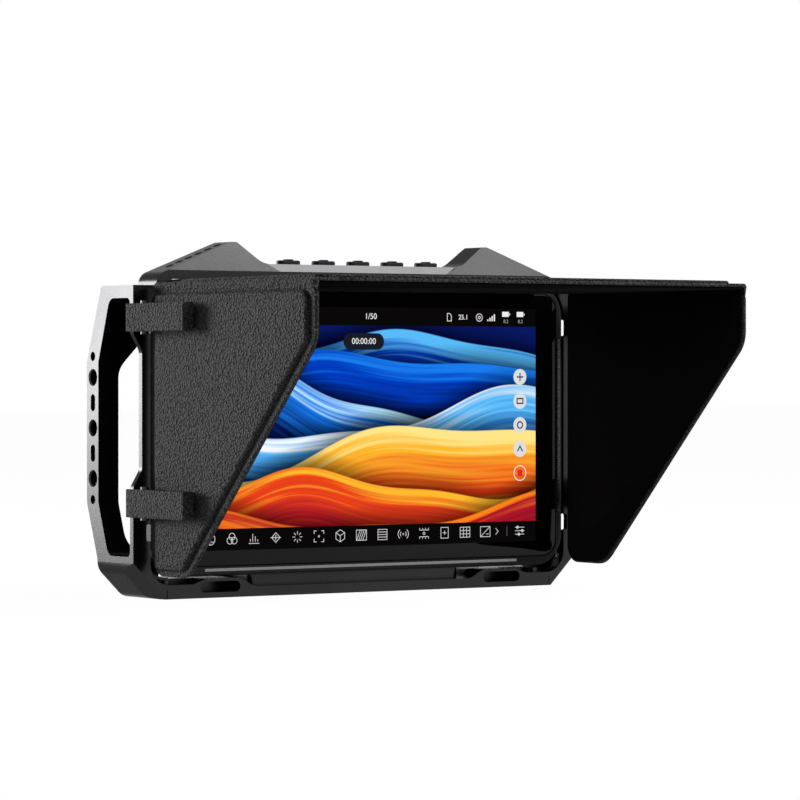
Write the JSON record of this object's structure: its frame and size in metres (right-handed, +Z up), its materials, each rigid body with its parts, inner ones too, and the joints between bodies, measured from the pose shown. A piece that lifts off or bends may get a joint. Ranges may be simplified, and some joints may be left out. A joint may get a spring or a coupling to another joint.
{
  "type": "recording monitor",
  "caption": "Recording monitor in a horned metal cage with side handles, top push buttons and a folding leather sun hood held by swinging straps.",
  "frame": {"origin": "mouth of the tripod thread in the middle of the bottom rail", "axes": "+X to the viewer's right, +Y away from the viewer, +Z up"},
  "size_m": [0.1982, 0.14, 0.1267],
  "materials": {
    "cage_metal": "dark anodised, satin",
    "steel": "bright steel",
    "leather": "pebbled, matt",
    "velvet": "flocked",
    "hook_tape": "hook and loop",
    "body_plastic": "fine texture",
    "button_plastic": "satin",
    "trim_metal": "polished edge",
    "bumper_rubber": "matt",
    "screen_glass": "gloss",
    "panel": "display",
    "chassis_metal": "plain",
    "board": "solder mask",
    "contact_metal": "gold plated",
    "socket_metal": "plated"
  },
  "bodies": {
    "monitor": {"cage_left_side": "cage_metal", "cage_right_side": "cage_metal", "cage_bottom_rail": "cage_metal", "cage_top_rail": "cage_metal", "cage_screws": "steel", "mount_screws": "steel", "strap_posts": "steel", "rear_screws": "steel", "strap_tails": "leather", "hood_hinge_strip": "leather", "front_bezel": "body_plastic", "rear_housing": "body_plastic", "battery_plate_left": "body_plastic", "battery_plate_right": "body_plastic", "edge_strips": "trim_metal", "corner_bumpers": "bumper_rubber", "cover_glass": "screen_glass", "display_panel": "panel", "chassis_plate": "chassis_metal", "main_board": "board", "antennas": "board", "button_strip": "board", "tact_switches": "board", "battery_contacts": "contact_metal", "video_in_socket": "socket_metal", "video_out_socket": "socket_metal", "power_socket": "socket_metal", "data_socket": "socket_metal", "headphone_socket": "socket_metal", "card_slot": "socket_metal"},
    "hood": {"hood_top_sheet": "leather", "hood_top_pad": "leather", "hood_top_lining": "velvet"},
    "left_flap": {"flap_left_sheet": "leather", "flap_left_pad": "leather", "flap_left_lining": "velvet", "hook_patches_left": "hook_tape"},
    "right_flap": {"flap_right_sheet": "leather", "flap_right_pad": "leather", "flap_right_lining": "velvet", "hook_patches_right": "hook_tape"},
    "left_upper_strap": {"strap_tab_left_upper": "leather"},
    "left_lower_strap": {"strap_tab_left_lower": "leather"},
    "left_latch": {"battery_latch_left": "body_plastic"},
    "right_upper_strap": {"strap_tab_right_upper": "leather"},
    "right_lower_strap": {"strap_tab_right_lower": "leather"},
    "right_latch": {"battery_latch_right": "body_plastic"},
    "push_button_1": {"button_1": "button_plastic"},
    "push_button_2": {"button_2": "button_plastic"},
    "push_button_3": {"button_3": "button_plastic"},
    "push_button_4": {"button_4": "button_plastic"},
    "push_button_5": {"button_5": "button_plastic"}
  },
  "joints": [
    {"name": "hood_lift", "type": "hinge", "parent": "monitor", "child": "hood", "pos_m": [0, -0.0143, 0.111], "axis": [-1, 0, 0], "range_deg": [0, 75]},
    {"name": "left_flap_fold", "type": "hinge", "parent": "hood", "child": "left_flap", "pos_m": [-0.0892, -0.0665, 0.1093], "axis": [0, -1, 0], "range_deg": [0, 84]},
    {"name": "right_flap_fold", "type": "hinge", "parent": "hood", "child": "right_flap", "pos_m": [0.0892, -0.0665, 0.1093], "axis": [0, 1, 0], "range_deg": [0, 76]},
    {"name": "left_upper_strap_swing", "type": "hinge", "parent": "monitor", "child": "left_upper_strap", "pos_m": [-0.0964, -0.0184, 0.09935], "axis": [0, 0, -1], "range_deg": [0, 90]},
    {"name": "left_lower_strap_swing", "type": "hinge", "parent": "monitor", "child": "left_lower_strap", "pos_m": [-0.0964, -0.0184, 0.0342], "axis": [0, 0, -1], "range_deg": [0, 90]},
    {"name": "left_latch_press", "type": "slide", "parent": "monitor", "child": "left_latch", "axis": [0, 0, -1], "range_m": [0, 0.002], "stiffness_N_per_m": 500},
    {"name": "right_upper_strap_swing", "type": "hinge", "parent": "monitor", "child": "right_upper_strap", "pos_m": [0.0964, -0.0184, 0.09935], "axis": [0, 0, 1], "range_deg": [0, 90]},
    {"name": "right_lower_strap_swing", "type": "hinge", "parent": "monitor", "child": "right_lower_strap", "pos_m": [0.0964, -0.0184, 0.0342], "axis": [0, 0, 1], "range_deg": [0, 90]},
    {"name": "right_latch_press", "type": "slide", "parent": "monitor", "child": "right_latch", "axis": [0, 0, -1], "range_m": [0, 0.002], "stiffness_N_per_m": 500},
    {"name": "button_1_press", "type": "slide", "parent": "monitor", "child": "push_button_1", "axis": [0, 0, -1], "range_m": [0, 0.0008], "stiffness_N_per_m": 1000},
    {"name": "button_2_press", "type": "slide", "parent": "monitor", "child": "push_button_2", "axis": [0, 0, -1], "range_m": [0, 0.0008], "stiffness_N_per_m": 1000},
    {"name": "button_3_press", "type": "slide", "parent": "monitor", "child": "push_button_3", "axis": [0, 0, -1], "range_m": [0, 0.0008], "stiffness_N_per_m": 1000},
    {"name": "button_4_press", "type": "slide", "parent": "monitor", "child": "push_button_4", "axis": [0, 0, -1], "range_m": [0, 0.0008], "stiffness_N_per_m": 1000},
    {"name": "button_5_press", "type": "slide", "parent": "monitor", "child": "push_button_5", "axis": [0, 0, -1], "range_m": [0, 0.0008], "stiffness_N_per_m": 1000}
  ]
}
